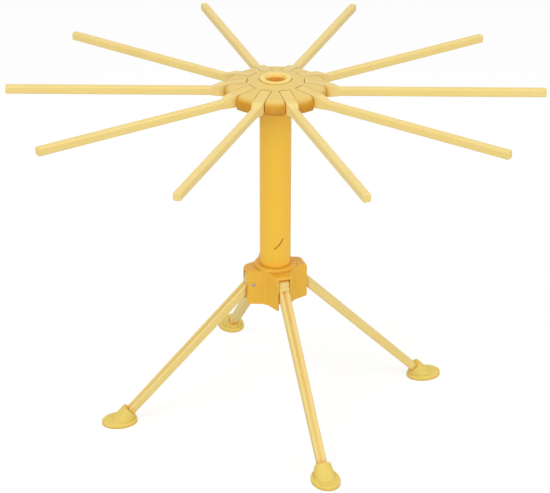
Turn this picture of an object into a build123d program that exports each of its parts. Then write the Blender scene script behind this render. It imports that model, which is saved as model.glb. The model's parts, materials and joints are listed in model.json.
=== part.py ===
from build123d import *
from math import atan2, cos, degrees, radians, sin, sqrt, tan
import os

# Folding rack for drying strips of dough.
# A slim column stands on four splayed legs and carries a turning head with ten radial arms.
# Each arm folds up on its own pin in the head, and each leg folds down under the hub.
# Frame: millimetres, +Z up, origin on the floor under the column, first arm along +X.

# Overall layout
arm_count = 10
leg_count = 4
tip_radius = 210.0
rod_bottom_z = 272.9
leg_azimuth = 18.0
leg_splay = 45.0
foot_radius = 133.5

# Clearances and small shared values
overrun = 5.0
slide_clearance = 0.35
running_clearance = 0.1
pin_clearance = 0.06
seam_gap = 0.3
edge_break = 0.5

# Column tube and the parts on it
tube_radius = 12.5
tube_wall = 2.0
shoulder_radius = 15.8
shoulder_height = 3.2
washer_thickness = 0.6
cap_flange = 3.6
cap_spigot = 12.0
cap_proud = 0.9
wand_bore_radius = 7.5
wand_funnel_depth = 2.2
wand_funnel_land = 3.7
clip_groove_depth = 0.8
clip_reach = 2.3
clip_thickness = 1.2
clip_mouth = 9.0
clip_play = 0.2
plug_height = 8.0
mark_radius = 18.0
mark_center_x = -10.8
mark_above_hub = 31.9
mark_start_angle = -55.7
mark_end_angle = -19.7
mark_width = 1.1
mark_depth = 0.8

# Head disc
disc_radius = 40.0
disc_rim_height = 10.9
disc_rise = 4.1
disc_edge_round = 5.0
disc_skin = 2.2
disc_hub_wall = 2.2
arm_inner_radius = 22.5
slot_end_wall = 2.0
cheek_wall = 1.8
boss_radius = 3.0
boss_azimuth_step = 72.0
boss_place_radius = 33.0

# Head base plate
plate_thickness = 1.8
sleeve_wall = 3.1
sleeve_up = 2.5
sleeve_down = 2.3

# Arms and their pins
rod_width = 6.0
rod_height = 6.5
rod_round = 1.3
root_width = 8.7
root_end_radius = 43.0
root_taper = 6.0
arm_pin_radius = 1.2
arm_pin_embed = 1.7
arm_pin_setback = 5.5
arm_pin_cover = 2.6
arm_fold_clearance = 0.45

# Screws
screw_radius = 1.4
screw_length = 8.5
screw_head_radius = 2.8
screw_head_height = 1.8
screw_drive_width = 1.0
screw_drive_depth = 0.9

# Leg hub
hub_radius = 17.0
hub_height = 31.9
hub_top_break = 1.0
hub_floor = 3.0
hub_skirt_wall = 2.5
hub_skirt_depth = 3.0
lug_root_radius = 16.0
lug_root_half_width = 9.4
lug_nose_half_width = 5.9
leg_pin_embed = 1.9
leg_pin_recess = 0.4
lug_reach = 4.8
lug_bridge = 2.5
lug_top_drop = 2.4
lug_nose_round = 3.2
slot_back_wall = 2.0

# Legs
hinge_radius = 20.5
leg_width_top = 8.6
leg_width_foot = 7.6
leg_depth_top = 7.2
leg_depth_foot = 6.4
leg_edge = 0.9
leg_eye_radius = 5.0
leg_heel_rise = 9.0
leg_heel_round = 3.0
leg_heel_front = 4.2
leg_pin_radius = 1.5
leg_groove_width = 4.6
leg_groove_depth = 1.3
leg_groove_foot_depth = 1.1
leg_groove_start = 2.0
leg_groove_end = 10.0
leg_tail_gap = 5.5

# Feet
foot_length = 29.4
foot_width = 22.7
foot_base_height = 3.4
foot_edge_round = 1.4
socket_mouth_width = 13.8
socket_toe_depth = 7.0
socket_heel_depth = 5.4
socket_reach = 13.2
socket_toe_inset = 7.0
socket_heel_inset = 1.6
socket_side_inset = 2.6

# Places that follow from the sizes above
disc_slope = degrees(atan2(disc_rise, disc_radius - tube_radius))
plate_top_z = rod_bottom_z
plate_bottom_z = plate_top_z - plate_thickness
disc_bottom_z = plate_bottom_z
disc_rim_z = disc_bottom_z + disc_rim_height
disc_bore_radius = tube_radius + seam_gap
sleeve_bore_radius = tube_radius + running_clearance
sleeve_outer_radius = sleeve_bore_radius + sleeve_wall
sleeve_bottom_z = plate_bottom_z - sleeve_down
sleeve_top_z = plate_top_z + sleeve_up
clip_bottom_z = sleeve_top_z + clip_play
clip_inner_radius = tube_radius - clip_groove_depth
clip_outer_radius = tube_radius + clip_reach
tube_bore_radius = tube_radius - tube_wall
cap_top_z = disc_rim_z + disc_rise + cap_proud
tube_top_z = cap_top_z - cap_flange
shoulder_top_z = sleeve_bottom_z - washer_thickness
arm_pin_place = arm_inner_radius + arm_pin_setback
slot_width = root_width + 2 * slide_clearance
arm_pin_half_length = slot_width / 2 + arm_pin_embed
hinge_z = (foot_radius - hinge_radius) * tan(radians(leg_splay))
leg_length = (foot_radius - hinge_radius) / cos(radians(leg_splay))
leg_slot_width = leg_width_top + 2 * slide_clearance
leg_slot_back = tube_radius + slot_back_wall
heel_reach = hinge_radius - leg_slot_back
heel_swing = sqrt((heel_reach - leg_heel_round)**2 + (leg_heel_rise - leg_heel_round)**2) + leg_heel_round
leg_slot_top = hinge_z + heel_swing + seam_gap
hub_top_z = leg_slot_top + lug_bridge + lug_top_drop
hub_bottom_z = hub_top_z - hub_height
hub_floor_top_z = hub_bottom_z + hub_skirt_depth + hub_floor
tube_bottom_z = hub_floor_top_z
lug_nose_radius = hinge_radius + lug_reach
lug_narrowing = (lug_root_half_width - lug_nose_half_width) / (lug_nose_radius - lug_root_radius)
leg_pin_low = -leg_slot_width / 2 - leg_pin_embed
leg_pin_high = lug_root_half_width - (hinge_radius - lug_root_radius) * lug_narrowing - leg_pin_recess


def disc_top_at(radius):
    """Height of the disc's conical top at a distance from the axis."""
    return disc_rim_z + (disc_radius - radius) * tan(radians(disc_slope))


arm_pin_z = disc_top_at(arm_pin_place) - arm_pin_cover
arm_corner_rise = disc_top_at(arm_inner_radius) - arm_pin_z
arm_swing = sqrt(arm_pin_setback**2 + arm_corner_rise**2)
arm_heel_swing = arm_pin_z - rod_bottom_z - arm_fold_clearance
arm_heel_drop = sqrt(arm_heel_swing**2 - arm_pin_setback**2)
slot_end_radius = arm_pin_place - arm_swing - arm_fold_clearance


def turned(shape, azimuth):
    """A copy turned about the column."""
    return Rot(0, 0, azimuth) * shape


def ring(outer, inner, bottom, height):
    """A plain ring about the column, standing on a height."""
    foot = Pos(0, 0, bottom)
    align = (Align.CENTER, Align.CENTER, Align.MIN)
    body = foot * Cylinder(outer, height, align=align)
    return body - foot * Cylinder(inner, height, align=align)


def disc(radius, bottom, height):
    """A plain cylinder about the column, standing on a height."""
    return Pos(0, 0, bottom) * Cylinder(radius, height, align=(Align.CENTER, Align.CENTER, Align.MIN))


def block(inner, outer, width, bottom, top):
    """A bar along +X between two distances from the axis, centred on Y."""
    align = (Align.MIN, Align.CENTER, Align.MIN)
    return Pos(inner, 0, bottom) * Box(outer - inner, width, top - bottom, align=align)


def side_plate(face, width):
    """A side outline drawn in the plane of +X and +Z, thickened evenly to both sides."""
    return extrude(Plane.XZ * face, amount=width / 2, both=True)


def cross_pin(radius, half_length, place, height):
    """A pin lying along Y at a distance from the axis."""
    return Pos(place, 0, height) * Rot(90, 0, 0) * Cylinder(radius, 2 * half_length)


def screw(place, azimuth, seat_z):
    """A pan head screw driven up from below, its head under the seat."""
    align = (Align.CENTER, Align.CENTER, Align.MIN)
    head = Pos(0, 0, -screw_head_height) * Cylinder(screw_head_radius, screw_head_height, align=align)
    head = fillet(head.edges().group_by(Axis.Z)[0], screw_head_height / 3)
    drive = Box(screw_head_radius, screw_drive_width, 2 * screw_drive_depth)
    cross = Pos(0, 0, -screw_head_height) * (drive + Rot(0, 0, 90) * drive)
    shank = Cylinder(screw_radius, screw_length, align=align)
    return Rot(0, 0, azimuth) * Pos(place, 0, seat_z) * (head + shank - cross)


# Column

def make_column_tube():
    body = disc(tube_radius, tube_bottom_z, tube_top_z - tube_bottom_z)
    shoulder = disc(shoulder_radius, shoulder_top_z - shoulder_height, shoulder_height)
    shoulder = chamfer(shoulder.edges().group_by(Axis.Z)[0], shoulder_height / 3)
    body = body + shoulder
    body = body - disc(tube_bore_radius, tube_bottom_z, tube_top_z - tube_bottom_z)
    groove = ring(clip_outer_radius, clip_inner_radius, clip_bottom_z, clip_thickness)
    return body - groove - moulded_mark()


def moulded_mark():
    """A short shallow arc in the front of the tube, low on its right side."""
    band = Circle(mark_radius + mark_width / 2) - Circle(mark_radius - mark_width / 2)
    ends = [(2 * mark_radius * cos(radians(angle)), 2 * mark_radius * sin(radians(angle)))
            for angle in (mark_start_angle, mark_end_angle)]
    wedge = make_face(Polyline((0, 0), *ends, close=True))
    arc = Plane.XZ * (Pos(mark_center_x, hub_top_z + mark_above_hub) * (band & wedge))
    cut = extrude(arc, amount=tube_radius + overrun)
    return cut - disc(tube_radius - mark_depth, tube_bottom_z, tube_top_z - tube_bottom_z)


def make_column_cap():
    bottom_z = tube_top_z - cap_spigot
    outline = Polyline(
        (wand_bore_radius, bottom_z),
        (tube_bore_radius, bottom_z),
        (tube_bore_radius, tube_top_z),
        (tube_radius, tube_top_z),
        (tube_radius, cap_top_z - edge_break),
        (tube_radius - edge_break, cap_top_z),
        (tube_radius - wand_funnel_land, cap_top_z),
        (wand_bore_radius, cap_top_z - wand_funnel_depth),
        close=True,
    )
    return revolve(Plane.XZ * make_face(outline), Axis.Z)


def make_column_plug():
    body = disc(tube_bore_radius, tube_bottom_z, plug_height)
    pilot = disc(screw_radius, tube_bottom_z, screw_length - hub_floor)
    return body - pilot


def make_bearing_washer():
    return ring(sleeve_outer_radius, sleeve_bore_radius, shoulder_top_z, washer_thickness)


def make_retaining_clip():
    body = ring(clip_outer_radius, clip_inner_radius, clip_bottom_z, clip_thickness)
    mouth = block(0, clip_outer_radius + overrun, clip_mouth, clip_bottom_z, clip_bottom_z + clip_thickness)
    return body - turned(mouth, 180)


# Head

def disc_outline(skin):
    """Half section of the disc, drawn in by a wall thickness."""
    rim = disc_radius - skin
    inner = disc_bore_radius + (disc_hub_wall if skin else 0)
    drop = skin / cos(radians(disc_slope))
    low = disc_bottom_z - (overrun if skin else 0)
    outline = Polyline(
        (inner, low),
        (rim, low),
        (rim, disc_top_at(rim) - drop),
        (inner, disc_top_at(inner) - drop),
        close=True,
    )
    face = make_face(outline)
    rim_corner = face.vertices().sort_by(Axis.X)[-2:].sort_by(Axis.Y)[-1]
    return fillet(rim_corner, disc_edge_round - skin / 2)


def arm_slot():
    """The slot of the arm along +X. Its inner end curves about the pin, so the arm swings past it closely."""
    high = disc_top_at(0) + overrun
    low = disc_bottom_z - overrun
    swing = cross_pin(arm_pin_place - slot_end_radius, slot_width / 2, arm_pin_place, arm_pin_z)
    below = block(slot_end_radius, arm_pin_place, slot_width, low, arm_pin_z)
    return block(arm_pin_place, disc_radius + overrun, slot_width, low, high) + swing + below


def make_head_disc():
    solid = revolve(Plane.XZ * disc_outline(0), Axis.Z)
    shell = solid - revolve(Plane.XZ * disc_outline(disc_skin), Axis.Z)
    hub_clear = disc(sleeve_outer_radius + seam_gap, disc_bottom_z - overrun,
                     clip_bottom_z + 2 * clip_thickness - disc_bottom_z + overrun)
    shell = shell - hub_clear
    high = disc_top_at(0)
    walls = Part()
    for arm in range(arm_count):
        wall = block(slot_end_radius - slot_end_wall, disc_radius, slot_width + 2 * cheek_wall,
                     plate_top_z, high)
        walls = walls + turned(wall, arm * 360 / arm_count)
    for azimuth in boss_azimuths():
        boss = Pos(boss_place_radius, 0, plate_top_z) * Cylinder(
            boss_radius, high - plate_top_z, align=(Align.CENTER, Align.CENTER, Align.MIN))
        walls = walls + turned(boss, azimuth)
    body = shell + (walls & solid)
    for arm in range(arm_count):
        azimuth = arm * 360 / arm_count
        hole = cross_pin(arm_pin_radius, arm_pin_half_length, arm_pin_place, arm_pin_z)
        body = body - turned(arm_slot(), azimuth) - turned(hole, azimuth)
    for azimuth in boss_azimuths():
        pilot = Pos(boss_place_radius, 0, plate_top_z) * Cylinder(
            screw_radius, screw_length - plate_thickness, align=(Align.CENTER, Align.CENTER, Align.MIN))
        body = body - turned(pilot, azimuth)
    return body


def boss_azimuths():
    """The screws stand in every second lobe between the arms."""
    first = 180 / arm_count
    return [first + step * boss_azimuth_step for step in range(int(360 / boss_azimuth_step))]


def make_head_base_plate():
    plate_radius = disc_radius - disc_skin - seam_gap
    body = disc(plate_radius, plate_bottom_z, plate_thickness)
    body = body + disc(sleeve_outer_radius, sleeve_bottom_z, sleeve_top_z - sleeve_bottom_z)
    body = body - disc(sleeve_bore_radius, sleeve_bottom_z, sleeve_top_z - sleeve_bottom_z)
    for azimuth in boss_azimuths():
        hole = Pos(boss_place_radius, 0, plate_bottom_z) * Cylinder(
            screw_radius, plate_thickness, align=(Align.CENTER, Align.CENTER, Align.MIN))
        body = body - turned(hole, azimuth)
    return body


# Arms

def make_arm():
    """The arm along +X: a deep root that the pin passes through, narrowing to a plain rod."""
    rod_top_z = rod_bottom_z + rod_height
    taper_x = root_end_radius + root_taper
    side = side_plate(make_face(Polyline(
        (arm_inner_radius, arm_pin_z - arm_heel_drop),
        (arm_pin_place, rod_bottom_z),
        (taper_x, rod_bottom_z),
        (taper_x, rod_top_z),
        (root_end_radius, disc_top_at(root_end_radius)),
        (arm_inner_radius, disc_top_at(arm_inner_radius)),
        close=True,
    )), root_width)
    plan = make_face(Polyline(
        (arm_inner_radius - overrun, -root_width / 2),
        (root_end_radius, -root_width / 2),
        (taper_x, -rod_width / 2),
        (taper_x, rod_width / 2),
        (root_end_radius, root_width / 2),
        (arm_inner_radius - overrun, root_width / 2),
        close=True,
    ))
    plan_height = disc_top_at(0) - rod_bottom_z + 2 * overrun
    plan_block = Pos(0, 0, rod_bottom_z - overrun) * extrude(plan, amount=plan_height)
    root = side & plan_block
    section = RectangleRounded(rod_width, rod_height, rod_round)
    rod_start = (root_end_radius, 0, rod_bottom_z + rod_height / 2)
    rod_place = Plane(origin=rod_start, x_dir=(0, 1, 0), z_dir=(1, 0, 0))
    rod = extrude(rod_place * section, amount=tip_radius - root_end_radius)
    rod = chamfer(rod.edges().group_by(Axis.X)[-1], edge_break)
    bore = cross_pin(arm_pin_radius + pin_clearance, root_width, arm_pin_place, arm_pin_z)
    return root + rod - bore


def make_arm_pins():
    pin = cross_pin(arm_pin_radius, arm_pin_half_length, arm_pin_place, arm_pin_z)
    return Compound(children=[turned(pin, arm * 360 / arm_count).solid() for arm in range(arm_count)])


def make_head_screws():
    return Compound(children=[
        screw(boss_place_radius, azimuth, plate_bottom_z).solid() for azimuth in boss_azimuths()])


# Leg hub

def make_leg_hub():
    body = disc(hub_radius, hub_bottom_z, hub_height)
    body = chamfer(body.edges().group_by(Axis.Z)[-1], hub_top_break)
    for leg in range(leg_count):
        body = body + turned(hub_lug(), leg * 360 / leg_count)
    body = body - disc(tube_radius, hub_floor_top_z, hub_top_z - hub_floor_top_z)
    body = body - disc(hub_radius - hub_skirt_wall, hub_bottom_z, hub_skirt_depth)
    body = body - disc(screw_radius, hub_bottom_z, hub_height)
    slot_end = lug_nose_radius + overrun
    slot = block(leg_slot_back, slot_end, leg_slot_width, hub_bottom_z - overrun, leg_slot_top)
    hole = hinge_rod(leg_pin_radius, leg_pin_low, lug_root_half_width)
    for leg in range(leg_count):
        azimuth = leg * 360 / leg_count
        body = body - turned(slot, azimuth) - turned(hole, azimuth)
    return turned(body, leg_azimuth)


def hub_lug():
    """The lug along +X: wide where it leaves the hub, narrower at its nose."""
    lug_top = leg_slot_top + lug_bridge
    outline = make_face(Polyline(
        (0, lug_top),
        (lug_nose_radius, lug_top),
        (lug_nose_radius, hub_bottom_z),
        (0, hub_bottom_z),
        close=True,
    ))
    nose = outline.vertices().sort_by(Axis.X)[-2:].sort_by(Axis.Y)
    side = side_plate(fillet(nose[-1], lug_nose_round), 2 * hub_radius)
    root_half = lug_root_half_width + lug_root_radius * lug_narrowing
    plan = make_face(Polyline(
        (0, -root_half),
        (lug_nose_radius, -lug_nose_half_width),
        (lug_nose_radius, lug_nose_half_width),
        (0, root_half),
        close=True,
    ))
    return side & (Pos(0, 0, hub_bottom_z) * extrude(plan, amount=hub_height))


def hinge_rod(radius, low, high):
    """A rod on a leg's hinge line, between two distances across the leg."""
    return Pos(hinge_radius, (low + high) / 2, hinge_z) * Rot(90, 0, 0) * Cylinder(radius, high - low)


def make_leg_pins():
    pin = hinge_rod(leg_pin_radius, leg_pin_low, leg_pin_high)
    return Compound(children=[
        turned(pin, leg_azimuth + leg * 360 / leg_count).solid() for leg in range(leg_count)])


def make_column_screw():
    return screw(0, 0, hub_floor_top_z - hub_floor)


# Legs and feet

def along_leg():
    """Places shapes on the leg: +Z runs from the hinge to the floor, +X faces out and up."""
    out = (sin(radians(leg_splay)), 0, cos(radians(leg_splay)))
    down = (cos(radians(leg_splay)), 0, -sin(radians(leg_splay)))
    return Plane(origin=(hinge_radius, 0, hinge_z), x_dir=out, z_dir=down)


def bar_section(depth, width):
    return chamfer(Rectangle(depth, width).vertices(), leg_edge)


def groove_section(distance, depth):
    """A vee across the leg's outer face at a distance down the leg."""
    share = distance / (leg_length - leg_tail_gap)
    face = (leg_depth_top + (leg_depth_foot - leg_depth_top) * share) / 2
    vee = make_face(Polyline(
        (face - depth, 0),
        (face + depth, leg_groove_width),
        (face + depth, -leg_groove_width),
        close=True,
    ))
    return along_leg() * Pos(0, 0, distance) * vee


def make_leg():
    place = along_leg()
    end = leg_length - leg_tail_gap
    top = place * bar_section(leg_depth_top, leg_width_top)
    low = place * Pos(0, 0, end) * bar_section(leg_depth_foot, leg_width_foot)
    bar = loft([top, low])
    groove = loft([
        groove_section(leg_groove_start, leg_groove_depth),
        groove_section(leg_length - leg_groove_end, leg_groove_foot_depth),
    ])
    eye = cross_pin(leg_eye_radius, leg_width_top / 2, hinge_radius, hinge_z)
    outline = make_face(Polyline(
        (leg_slot_back, hinge_z),
        (hinge_radius + leg_heel_front, hinge_z),
        (hinge_radius + leg_heel_front, hinge_z + leg_heel_rise),
        (leg_slot_back, hinge_z + leg_heel_rise),
        close=True,
    ))
    corners = outline.vertices().sort_by(Axis.Y)[-2:]
    heel = side_plate(fillet(corners, leg_heel_round), leg_width_top)
    bore = cross_pin(leg_pin_radius + pin_clearance, leg_width_top, hinge_radius, hinge_z)
    return bar - groove + eye + heel - bore


def foot_section(height):
    """The socket's oval at a height: its toe, heel and sides run straight from the pad to the mouth."""
    start = foot_base_height - foot_edge_round
    run, rise = cos(radians(leg_splay)), sin(radians(leg_splay))
    mouth = foot_radius - socket_reach * run
    mouth_height = socket_reach * rise
    toe_share = (height - start) / (mouth_height + socket_toe_depth * run - start)
    heel_share = (height - start) / (mouth_height - socket_heel_depth * run - start)
    side_share = (height - start) / (mouth_height - start)
    pad_toe = foot_radius + foot_length / 2 - socket_toe_inset
    pad_heel = foot_radius - foot_length / 2 + socket_heel_inset
    pad_side = foot_width / 2 - socket_side_inset
    toe = pad_toe * (1 - toe_share) + (mouth + socket_toe_depth * rise) * toe_share
    heel = pad_heel * (1 - heel_share) + (mouth - socket_heel_depth * rise) * heel_share
    side = pad_side * (1 - side_share) + socket_mouth_width / 2 * side_share
    return Pos((toe + heel) / 2, 0, height) * Ellipse((toe - heel) / 2, side)


def make_foot(leg):
    """An oval pad whose top sweeps up along the leg to the mouth of its socket."""
    pad = Pos(foot_radius, 0, 0) * extrude(Ellipse(foot_length / 2, foot_width / 2), amount=foot_base_height)
    pad = fillet(pad.edges().group_by(Axis.Z)[-1], foot_edge_round)
    start = foot_base_height - foot_edge_round
    end = socket_reach * sin(radians(leg_splay)) + socket_toe_depth * cos(radians(leg_splay))
    sweep = loft([foot_section(start), foot_section(end)])
    above = along_leg() * Pos(0, 0, leg_length - socket_reach) * Box(
        foot_length, foot_length, foot_length, align=(Align.CENTER, Align.CENTER, Align.MAX))
    return pad + (sweep - above) - leg


if __name__ == "__main__":
    os.makedirs("parts", exist_ok=True)
    nodes = {
        "column_tube": make_column_tube(),
        "column_cap": make_column_cap(),
        "column_plug": make_column_plug(),
        "column_screw": make_column_screw(),
        "bearing_washer": make_bearing_washer(),
        "retaining_clip": make_retaining_clip(),
        "head_disc": make_head_disc(),
        "head_base_plate": make_head_base_plate(),
        "head_screws": make_head_screws(),
        "arm_pins": make_arm_pins(),
        "leg_hub": make_leg_hub(),
        "leg_pins": make_leg_pins(),
    }
    arm = make_arm()
    for number in range(arm_count):
        nodes[f"arm_{number + 1:02d}"] = turned(arm, number * 360 / arm_count)
    leg = make_leg()
    foot = make_foot(leg)
    for number in range(leg_count):
        azimuth = leg_azimuth + number * 360 / leg_count
        nodes[f"leg_{number + 1}"] = turned(leg, azimuth)
        nodes[f"foot_{number + 1}"] = turned(foot, azimuth)
    for name, shape in nodes.items():
        export_step(shape, os.path.join("parts", name + ".step"))
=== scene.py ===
"""Looks of the pasta drying rack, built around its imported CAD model.

Lengths are in metres and angles in degrees. A span is a pair of values that something fades between.
"""

import json
import math

import bpy
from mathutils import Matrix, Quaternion, Vector


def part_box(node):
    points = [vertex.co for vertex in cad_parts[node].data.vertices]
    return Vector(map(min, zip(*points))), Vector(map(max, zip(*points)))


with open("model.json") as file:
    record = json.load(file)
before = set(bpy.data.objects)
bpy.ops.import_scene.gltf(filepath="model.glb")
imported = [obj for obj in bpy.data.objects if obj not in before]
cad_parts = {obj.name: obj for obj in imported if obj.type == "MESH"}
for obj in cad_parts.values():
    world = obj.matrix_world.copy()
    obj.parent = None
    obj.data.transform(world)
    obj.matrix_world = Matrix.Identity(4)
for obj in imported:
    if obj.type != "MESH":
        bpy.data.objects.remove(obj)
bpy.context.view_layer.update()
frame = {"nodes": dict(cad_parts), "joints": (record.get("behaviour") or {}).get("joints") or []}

MM = 0.001
WHITE = (1, 1, 1, 1)

# Photograph: where the camera stood, found from the arm tips and the feet
photo_width = 550
camera_azimuth = -0.69
camera_elevation = 26.1
camera_roll = 0.14
camera_distance = 1.5196
camera_focal_pixels = 1879.9
camera_target = Vector((-0.0002, 0.0, 0.1413))
sensor_width = 36.0

# Colours, as linear light: each plastic has its own tone, a deeper one and a paler one.
# The tones of the column, the hub and the head's side are made deeper and more orange as painted shade and
# bounce light
head_yellow = ((0.815, 0.595, 0.180), (0.790, 0.545, 0.146), (0.860, 0.695, 0.270))
# Painted shade: the head's upright side is a deeper orange than its top, and deeper still at its lower
# edge
rim_painted_shade = (0.665, 0.345, 0.012)
rim_painted_low_shade = (0.545, 0.225, 0.003)
# Partly painted light: the column's own yellow, made deeper and more orange as painted shade and warm
# bounce light
column_yellow_painted_bounce = ((0.950, 0.555, 0.034), (0.935, 0.505, 0.028), (0.965, 0.625, 0.068))
# Painted shade: the hub's top and sides are a deeper orange than the column, the top the deepest
hub_top_painted_shade = ((0.770, 0.415, 0.026), (0.740, 0.365, 0.020), (0.840, 0.520, 0.060))
hub_side_painted_shade = (0.865, 0.485, 0.032)
cap_yellow = ((0.960, 0.690, 0.190), (0.940, 0.630, 0.140), (0.975, 0.790, 0.300))
rod_yellow = ((0.870, 0.665, 0.222), (0.850, 0.605, 0.178), (0.910, 0.765, 0.340))
root_yellow = (0.800, 0.570, 0.150)
leg_yellow = ((0.855, 0.660, 0.225), (0.835, 0.600, 0.178), (0.895, 0.760, 0.345))
# Painted shade: a deeper tone down a leg's groove
groove_painted_shade = (0.640, 0.390, 0.060)
foot_yellow = ((0.800, 0.615, 0.130), (0.770, 0.560, 0.098), (0.850, 0.700, 0.220))
washer_white = ((0.780, 0.770, 0.730), (0.740, 0.725, 0.680), (0.820, 0.815, 0.790))
# Painted shade: a deep orange for hollows, as light bounced about inside them
hollow_painted_shade = (0.970, 0.420, 0.025)
# Painted shade: brown for crevices
crevice_painted_shade = (0.330, 0.150, 0.022)
steel_grey = ((0.560, 0.570, 0.580), (0.420, 0.425, 0.435))

# Mottling of the plastic: broad clouds of the deeper tone, flow lines of the paler one, and fine specks
mottle_size = 55 * MM
mottle_span = (0.35, 0.70)
mottle_share = 0.42
flow_size = 9 * MM
flow_span = (0.40, 0.75)
flow_share = 0.16
speckle_size = 0.9 * MM
speckle_span = (0.62, 0.78)
speckle_share = 0.22

# Surface of the plastic: a grain everywhere, a satin texture, and gloss that wanders a little
grain_size = 0.42 * MM
grain_depth = 0.012 * MM
satin_size = 1.6 * MM
satin_depth = 0.010 * MM
gloss_span = (0.3, 0.7)
gloss_change = (-0.05, 0.06)
plastic_ior = 1.53
plastic_glow_depth = 2.2 * MM
plastic_glow_tint = (1.0, 0.55, 0.15)

# Outer edges, which are rounded, given a painted highlight in the pale tone and polished a little: the
# span is of how well the rounded and flat normals agree
edge_radius = 0.45 * MM
edge_samples = 6
edge_span = (0.995, 0.86)
edge_highlight_share = 0.45
worn_polish = 0.08

# Upright and downward faces: the spans are of how far a face looks up. Upright and downward faces of the
# head and hub take the painted shade of their sides
upright_span = (0.90, 0.15)
underside_span = (-0.95, -0.6)

# Closed-in places, which get painted shade: the spans are of the share of open space around them
closed_samples = 8
cavity_reach = 16 * MM
cavity_span = (0.85, 0.35)
crevice_reach = 1.6 * MM
crevice_span = (0.85, 0.20)
crevice_share = 0.75

# Deeper tones: painted shade down the groove of a leg and up from the head's lower edge, and a deeper tone
# at the inner end of an arm
groove_reach = 4 * MM
groove_span = (0.98, 0.78)
groove_run = (15 * MM, 130 * MM)
groove_shares = (0.95, 0.50)
root_inside = 1 * MM
root_outside = 3 * MM
root_share = 0.75
rim_shade_fade = 8 * MM

# Marks that the mould leaves
parting_width = 0.16 * MM
parting_depth = 0.05 * MM
ejector_radius = 1.7 * MM
ejector_pitch = 34 * MM
ejector_depth = 0.06 * MM
ejector_edge = 0.18 * MM
leg_inner_span = (-2.8 * MM, -2.2 * MM)

# Steel: fine drawn lines, and dull patches
line_length = 4 * MM
line_width = 0.12 * MM
line_depth = 0.004 * MM
line_span = (0.3, 0.7)
line_roughness = (0.24, 0.42)
patch_size = 2.5 * MM
patch_span = (0.40, 0.70)
patch_share = 0.55

# Floor, room and lamps: each lamp has its place, its width and its power in watts
floor_half = 4.0
floor_bounce = 0.80
floor_seen = 0.34
floor_glow = 0.715
room_strength = 0.55
lamps = {
    "key": ((-0.9, -1.1, 1.7), 1.3, 14.5),
    "fill": ((1.3, -0.8, 1.0), 1.2, 7.0),
    "top": ((0.2, 0.5, 2.0), 1.4, 4.0),
    "front": ((-0.1, -1.8, 0.4), 1.2, 3.5),
}

# Places of the CAD model: the arms lie level at rest, and the legs lean out by 45 degrees
arm_joints = [joint for joint in frame["joints"] if joint["name"].startswith("arm_")]
arm_count = len(arm_joints)
arm_first_azimuth = 0.0
rod_height = 6.5 * MM
rod_middle_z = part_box("arm_01")[0].z + rod_height / 2
rim_low_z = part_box("head_disc")[0].z
head_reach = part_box("head_disc")[1].x
leg_joints = [joint for joint in frame["joints"] if joint["name"].startswith("leg_")]
leg_count = len(leg_joints)
leg_hinge = Vector(leg_joints[0]["pos_m"])
leg_hinge_reach = math.hypot(leg_hinge.x, leg_hinge.y)
leg_first_azimuth = math.degrees(math.atan2(leg_hinge.y, leg_hinge.x))
leg_slant = math.sqrt(0.5)


# Shader building

def add(tree, kind, inputs=None, **settings):
    """A node with its settings, and its inputs given as values or as sockets to link from."""
    made = tree.nodes.new(kind)
    for name, value in settings.items():
        setattr(made, name, value)
    for name, value in (inputs or {}).items():
        if isinstance(value, bpy.types.NodeSocket):
            tree.links.new(value, made.inputs[name])
        else:
            made.inputs[name].default_value = value
    return made


def calc(tree, operation, first, second=0.0):
    """The result of a math node."""
    return add(tree, "ShaderNodeMath", {0: first, 1: second}, operation=operation).outputs[0]


def hypotenuse(tree, first, second):
    """The long side of a right-angled triangle."""
    squares = [calc(tree, "MULTIPLY", side, side) for side in (first, second)]
    return calc(tree, "SQRT", calc(tree, "ADD", *squares))


def remap(tree, value, span, onto):
    """A value moved from a span onto another one, and held inside it."""
    return add(tree, "ShaderNodeMapRange", {
        "Value": value, "From Min": span[0], "From Max": span[1], "To Min": onto[0], "To Max": onto[1],
    }).outputs["Result"]


def fade(tree, value, span, share=1.0):
    """A share that grows from 0 at the start of a span to its full size at the end."""
    return remap(tree, value, span, (0.0, share))


def split(tree, vector):
    """The three parts of a vector."""
    return add(tree, "ShaderNodeSeparateXYZ", {"Vector": vector}).outputs


def mix_colour(tree, share, first, second):
    """Two colours mixed by a share."""
    made = add(tree, "ShaderNodeMix", {"Factor": share}, data_type="RGBA")
    sockets = [socket for socket in made.inputs if socket.type == "RGBA"]
    for socket, value in zip(sockets, (first, second)):
        if isinstance(value, bpy.types.NodeSocket):
            tree.links.new(value, socket)
        else:
            socket.default_value = (*value, 1)
    return next(socket for socket in made.outputs if socket.type == "RGBA")


def noise(tree, place, size, detail):
    """Noise whose features are about this size across."""
    inputs = {"Vector": place, "Scale": 1 / size, "Detail": detail}
    return add(tree, "ShaderNodeTexNoise", inputs).outputs["Fac"]


def stretched(tree, place, along, across):
    """A place scaled so that noise of size 1 is drawn out along X."""
    scale = (1 / along, 1 / across, 1 / across)
    return add(tree, "ShaderNodeMapping", {"Vector": place, "Scale": scale}).outputs["Vector"]


def spokes(tree, place, count, first):
    """Places folded onto one of several equal spokes about Z: along the spoke, across it, and up."""
    axes = split(tree, place)
    step = 2 * math.pi / count
    angle = calc(tree, "SUBTRACT", calc(tree, "ARCTAN2", axes["Y"], axes["X"]), math.radians(first))
    nearest = calc(tree, "ROUND", calc(tree, "DIVIDE", angle, step))
    local = calc(tree, "SUBTRACT", angle, calc(tree, "MULTIPLY", nearest, step))
    reach = hypotenuse(tree, axes["X"], axes["Y"])
    along = calc(tree, "MULTIPLY", reach, calc(tree, "COSINE", local))
    across = calc(tree, "MULTIPLY", reach, calc(tree, "SINE", local))
    return along, across, axes["Z"]


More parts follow.
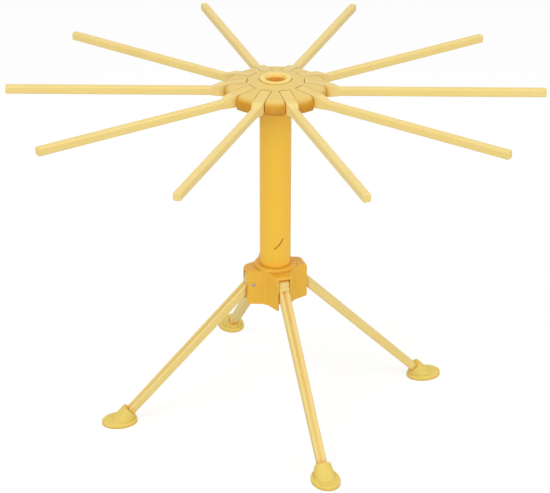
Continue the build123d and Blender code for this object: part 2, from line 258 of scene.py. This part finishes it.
def ridge(tree, distance):
    """A fine raised line where the halves of the mould met, at distance 0."""
    away = calc(tree, "ABSOLUTE", distance)
    return remap(tree, away, (0.0, parting_width), (parting_depth, 0.0))


def ejector_marks(tree, along, across, facing):
    """Shallow round marks in a row along a piece, on the side that faces away from the show side."""
    turn = calc(tree, "ROUND", calc(tree, "DIVIDE", along, ejector_pitch))
    offset = calc(tree, "SUBTRACT", along, calc(tree, "MULTIPLY", turn, ejector_pitch))
    away = hypotenuse(tree, offset, across)
    depth = remap(tree, away, (ejector_radius - ejector_edge, ejector_radius), (-ejector_depth, 0.0))
    return calc(tree, "MULTIPLY", depth, facing)


def rounded_edges(tree):
    """A share that rises on outer edges, where a painted highlight goes, and the normal that rounds them.
    """
    rounded = add(tree, "ShaderNodeBevel", {"Radius": edge_radius}, samples=edge_samples).outputs["Normal"]
    flat = add(tree, "ShaderNodeNewGeometry").outputs["True Normal"]
    product = add(tree, "ShaderNodeVectorMath", {0: rounded, 1: flat}, operation="DOT_PRODUCT")
    return fade(tree, product.outputs["Value"], edge_span), rounded


def enclosed(tree, reach, span):
    """A share that rises from 0 in the open to 1 where nearby surfaces close a place in: it places painted
    shade.
    """
    light = add(tree, "ShaderNodeAmbientOcclusion", {"Distance": reach}, samples=closed_samples)
    return fade(tree, light.outputs["AO"], span)


def bumped(tree, normal, *heights):
    """A normal with heights in metres laid on it."""
    total = heights[0]
    for height in heights[1:]:
        total = calc(tree, "ADD", total, height)
    scaled = calc(tree, "DIVIDE", total, MM)
    inputs = {"Strength": 1.0, "Distance": MM, "Height": scaled, "Normal": normal}
    return add(tree, "ShaderNodeBump", inputs).outputs["Normal"]


def new_material(name):
    """A node material: itself, its tree, its principled shader and the piece's own coordinates."""
    made = bpy.data.materials.new(name)
    made.use_nodes = True
    tree = made.node_tree
    shader = tree.nodes["Principled BSDF"]
    places = add(tree, "ShaderNodeTexCoord").outputs
    return made, tree, shader, places


# Materials

def plastic(name, colours, roughness, satin, marks=None, side=None, overlay=None,
            glow=0.85, shine=0.50, soft=0.30):
    """Moulded plastic: mottled colour, a fine grain, a painted highlight on the edges, painted shade in
    closed-in places and a faint glow from within.

    satin is the strength of the satin texture. marks makes more heights from the tree and the coordinates,
    such as those that the mould leaves. side makes the tone of the upright faces, where it differs from
    that of the top, as painted shade. overlay makes a share and a colour laid over the tone, such as
    painted shade in a leg's groove. glow is how deep the painted shade, a deep orange, gets where the
    piece closes a place in. shine is the strength of the gloss, and soft the share of light that passes
    through the plastic near its surface.
    """
    made, tree, shader, places = new_material(name)
    place = places["Object"]
    tone, deep, pale = colours
    mottle = fade(tree, noise(tree, place, mottle_size, detail=3.0), mottle_span, mottle_share)
    flow = fade(tree, noise(tree, place, flow_size, detail=4.0), flow_span, flow_share)
    speckle = fade(tree, noise(tree, place, speckle_size, detail=1.0), speckle_span, speckle_share)
    edge, rounded = rounded_edges(tree)
    # Painted shade: upright faces take the side tone instead of the top's
    if side:
        upright = fade(tree, split(tree, places["Normal"])["Z"], upright_span)
        painted_side_tone = side(tree, places)
        tone = mix_colour(tree, upright, tone, painted_side_tone)
        deep = mix_colour(tree, upright, deep, painted_side_tone)
    colour = mix_colour(tree, mottle, tone, deep)
    colour = mix_colour(tree, flow, colour, pale)
    colour = mix_colour(tree, speckle, colour, deep)
    # Painted highlight: outer edges mixed towards the pale tone
    colour = mix_colour(tree, calc(tree, "MULTIPLY", edge, edge_highlight_share), colour, pale)
    # Painted shade in a leg's groove, and a deeper tone at an arm's inner end
    if overlay:
        share, overlay_tone = overlay(tree, places)
        colour = mix_colour(tree, share, colour, overlay_tone)
    # Painted shade in hollows: mixed towards deep orange where the piece closes a place in
    hollow_shade_share = enclosed(tree, cavity_reach, cavity_span)
    colour = mix_colour(tree, calc(tree, "MULTIPLY", hollow_shade_share, glow), colour, hollow_painted_shade)
    # Painted shade in crevices: mixed towards brown
    crevice_shade_share = enclosed(tree, crevice_reach, crevice_span)
    colour = mix_colour(tree, calc(tree, "MULTIPLY", crevice_shade_share, crevice_share), colour, crevice_painted_shade)
    tree.links.new(colour, shader.inputs["Base Color"])
    rough_span = [roughness + change for change in gloss_change]
    rough = remap(tree, noise(tree, place, flow_size, detail=5.0), gloss_span, rough_span)
    rough = calc(tree, "SUBTRACT", rough, calc(tree, "MULTIPLY", edge, worn_polish))
    tree.links.new(rough, shader.inputs["Roughness"])
    heights = [
        calc(tree, "MULTIPLY", noise(tree, place, grain_size, detail=2.0), grain_depth),
        calc(tree, "MULTIPLY", noise(tree, place, satin_size, detail=2.0), satin_depth * satin),
    ]
    if marks:
        heights += marks(tree, places)
    tree.links.new(bumped(tree, rounded, *heights), shader.inputs["Normal"])
    shader.inputs["IOR"].default_value = plastic_ior
    shader.inputs["Specular IOR Level"].default_value = shine
    shader.inputs["Subsurface Weight"].default_value = soft
    shader.inputs["Subsurface Radius"].default_value = plastic_glow_tint
    shader.inputs["Subsurface Scale"].default_value = plastic_glow_depth
    return made


def rod_marks(tree, places):
    """On an arm: the parting line half way up its sides, and ejector marks underneath."""
    along, across, up = spokes(tree, places["Object"], arm_count, arm_first_azimuth)
    line = ridge(tree, calc(tree, "SUBTRACT", up, rod_middle_z))
    facing = remap(tree, split(tree, places["Normal"])["Z"], underside_span, (1.0, 0.0))
    return [line, ejector_marks(tree, along, across, facing)]


def rod_root_tone(tree, places):
    """On an arm: a deeper tone on the part that lies in the head, fading out just outside it."""
    along = spokes(tree, places["Object"], arm_count, arm_first_azimuth)[0]
    span = (head_reach - root_inside, head_reach + root_outside)
    return remap(tree, along, span, (root_share, 0.0)), root_yellow


def leg_axes(tree, places):
    """Places on a leg: the distance down it from its hinge, across it, and out from its middle."""
    along, across, up = spokes(tree, places["Object"], leg_count, leg_first_azimuth)
    out = calc(tree, "SUBTRACT", along, leg_hinge_reach)
    rise = calc(tree, "SUBTRACT", up, leg_hinge.z)
    down_leg = calc(tree, "MULTIPLY", calc(tree, "SUBTRACT", out, rise), leg_slant)
    off_leg = calc(tree, "MULTIPLY", calc(tree, "ADD", out, rise), leg_slant)
    return down_leg, across, off_leg


def leg_marks(tree, places):
    """On a leg: the parting line along the middle of its sides, and ejector marks on its inner face."""
    down_leg, across, off_leg = leg_axes(tree, places)
    inner = remap(tree, off_leg, leg_inner_span, (1.0, 0.0))
    return [ridge(tree, off_leg), ejector_marks(tree, down_leg, across, inner)]


def leg_groove_painted_shade(tree, places):
    """On a leg: painted shade in the groove of its outer face, strongest near the hub."""
    down_leg = leg_axes(tree, places)[0]
    hollow = enclosed(tree, groove_reach, groove_span)
    strength = remap(tree, down_leg, groove_run, groove_shares)
    return calc(tree, "MULTIPLY", hollow, strength), groove_painted_shade


def hub_painted_side_tone(tree, places):
    """The tone of the hub's upright faces, with painted shade: a deeper orange than the column, but paler
    than the hub's top, which carries more painted shade.
    """
    return hub_side_painted_shade


def rim_painted_shade_tone(tree, places):
    """Painted shade on the head's upright side: a deeper orange than its top, and deeper still towards its
    lower edge.
    """
    height = split(tree, places["Object"])["Z"]
    low = remap(tree, height, (rim_low_z, rim_low_z + rim_shade_fade), (1.0, 0.0))
    return mix_colour(tree, low, rim_painted_shade, rim_painted_low_shade)


def column_marks(tree, places):
    """On the column: a parting line down its left and right sides."""
    return [ridge(tree, split(tree, places["Object"])["Y"])]


def steel(name):
    """Bright steel with turned or drawn lines and small dull patches."""
    made, tree, shader, places = new_material(name)
    place = places["Object"]
    tone, deep = steel_grey
    lines = noise(tree, stretched(tree, place, line_length, line_width), 1.0, detail=3.0)
    patches = fade(tree, noise(tree, place, patch_size, detail=3.0), patch_span, patch_share)
    tree.links.new(mix_colour(tree, patches, tone, deep), shader.inputs["Base Color"])
    tree.links.new(remap(tree, lines, line_span, line_roughness), shader.inputs["Roughness"])
    rounded = rounded_edges(tree)[1]
    height = calc(tree, "MULTIPLY", lines, line_depth)
    tree.links.new(bumped(tree, rounded, height), shader.inputs["Normal"])
    shader.inputs["Metallic"].default_value = 1.0
    return made


def finish_nodes():
    """Gives every CAD node its material."""
    rod = plastic("rod_plastic", rod_yellow, roughness=0.40, satin=0.5,
                  marks=rod_marks, overlay=rod_root_tone, soft=0.0)
    leg = plastic("leg_plastic", leg_yellow, roughness=0.42, satin=0.6,
                  marks=leg_marks, overlay=leg_groove_painted_shade, soft=0.10)
    column = plastic("column_plastic", column_yellow_painted_bounce, roughness=0.40, satin=0.4, marks=column_marks)
    head = plastic("head_plastic", head_yellow, roughness=0.50, satin=1.4, side=rim_painted_shade_tone, shine=0.28)
    hub = plastic("hub_plastic", hub_top_painted_shade, roughness=0.46, satin=1.0, side=hub_painted_side_tone, glow=0.40)
    cap = plastic("cap_plastic", cap_yellow, roughness=0.40, satin=0.5)
    foot = plastic("foot_plastic", foot_yellow, roughness=0.52, satin=1.2, glow=0.20)
    washer = plastic("washer_plastic", washer_white, roughness=0.35, satin=0.3)
    metal = steel("fastener_steel")
    by_name = {
        "arm_pins": metal, "leg_pins": metal, "head_screws": metal, "column_screw": metal,
        "retaining_clip": metal, "bearing_washer": washer, "column_tube": column,
        "column_cap": cap, "column_plug": column, "leg_hub": hub, "head_disc": head,
        "head_base_plate": head,
    }
    by_kind = {"arm": rod, "leg": leg, "foot": foot}
    for name, piece in frame["nodes"].items():
        material = by_name.get(name) or by_kind[name.split("_")[0]]
        for slot in piece.material_slots:
            slot.material = material


# Floor, room, lamps and camera

def make_floor():
    """A pale floor that keeps the rack's shadow and is seen nearly white."""
    mesh = bpy.data.meshes.new("floor")
    corners = [(-floor_half, -floor_half, 0), (floor_half, -floor_half, 0),
               (floor_half, floor_half, 0), (-floor_half, floor_half, 0)]
    mesh.from_pydata(corners, [], [(0, 1, 2, 3)])
    floor = bpy.data.objects.new("floor", mesh)
    bpy.context.scene.collection.objects.link(floor)
    made = bpy.data.materials.new("floor_white")
    made.use_nodes = True
    tree = made.node_tree
    tree.nodes.clear()
    seen = add(tree, "ShaderNodeLightPath").outputs["Is Camera Ray"]
    bounce, matt = (
        add(tree, "ShaderNodeBsdfDiffuse", {"Color": (level, level, level, 1)}).outputs["BSDF"]
        for level in (floor_bounce, floor_seen))
    glow = add(tree, "ShaderNodeEmission", {"Color": WHITE, "Strength": floor_glow}).outputs["Emission"]
    shown = add(tree, "ShaderNodeAddShader", {0: matt, 1: glow}).outputs["Shader"]
    mixed = add(tree, "ShaderNodeMixShader", {"Fac": seen, 1: bounce, 2: shown}).outputs["Shader"]
    add(tree, "ShaderNodeOutputMaterial", {"Surface": mixed})
    mesh.materials.append(made)


def make_room():
    """An even white room: white where it is seen or mirrored, and dimmer as light on the rack."""
    world = bpy.data.worlds.new("room")
    bpy.context.scene.world = world
    world.use_nodes = True
    tree = world.node_tree
    tree.nodes.clear()
    path = add(tree, "ShaderNodeLightPath").outputs
    shown = calc(tree, "MAXIMUM", path["Is Camera Ray"], path["Is Transmission Ray"])
    shown = calc(tree, "MAXIMUM", shown, path["Is Glossy Ray"])
    strength = remap(tree, shown, (0.0, 1.0), (room_strength, 1.0))
    background = add(tree, "ShaderNodeBackground", {"Color": WHITE, "Strength": strength})
    add(tree, "ShaderNodeOutputWorld", {"Surface": background.outputs["Background"]})


def make_lamps():
    """Soft square lamps that point at the middle of the rack."""
    for name, (place, size, power) in lamps.items():
        lamp = bpy.data.lights.new(name, "AREA")
        lamp.energy = power
        lamp.size = size
        holder = bpy.data.objects.new(name, lamp)
        bpy.context.scene.collection.objects.link(holder)
        holder.location = place
        holder.rotation_euler = (camera_target - Vector(place)).to_track_quat("-Z", "Y").to_euler()


def make_camera():
    """The camera of the photograph."""
    azimuth, elevation = math.radians(camera_azimuth), math.radians(camera_elevation)
    level_reach = math.cos(elevation)
    forward = Vector((math.sin(azimuth) * level_reach, math.cos(azimuth) * level_reach,
                      -math.sin(elevation)))
    lens = bpy.data.cameras.new("camera")
    lens.sensor_width = sensor_width
    lens.lens = camera_focal_pixels / photo_width * sensor_width
    camera = bpy.data.objects.new("camera", lens)
    bpy.context.scene.collection.objects.link(camera)
    camera.location = camera_target - forward * camera_distance
    camera.rotation_mode = "QUATERNION"
    unrolled = forward.to_track_quat("-Z", "Y")
    camera.rotation_quaternion = unrolled @ Quaternion((0, 0, 1), math.radians(camera_roll))
    bpy.context.scene.camera = camera


finish_nodes()
make_floor()
make_room()
make_lamps()
make_camera()

scene = bpy.context.scene
scene.view_settings.view_transform = "Standard"
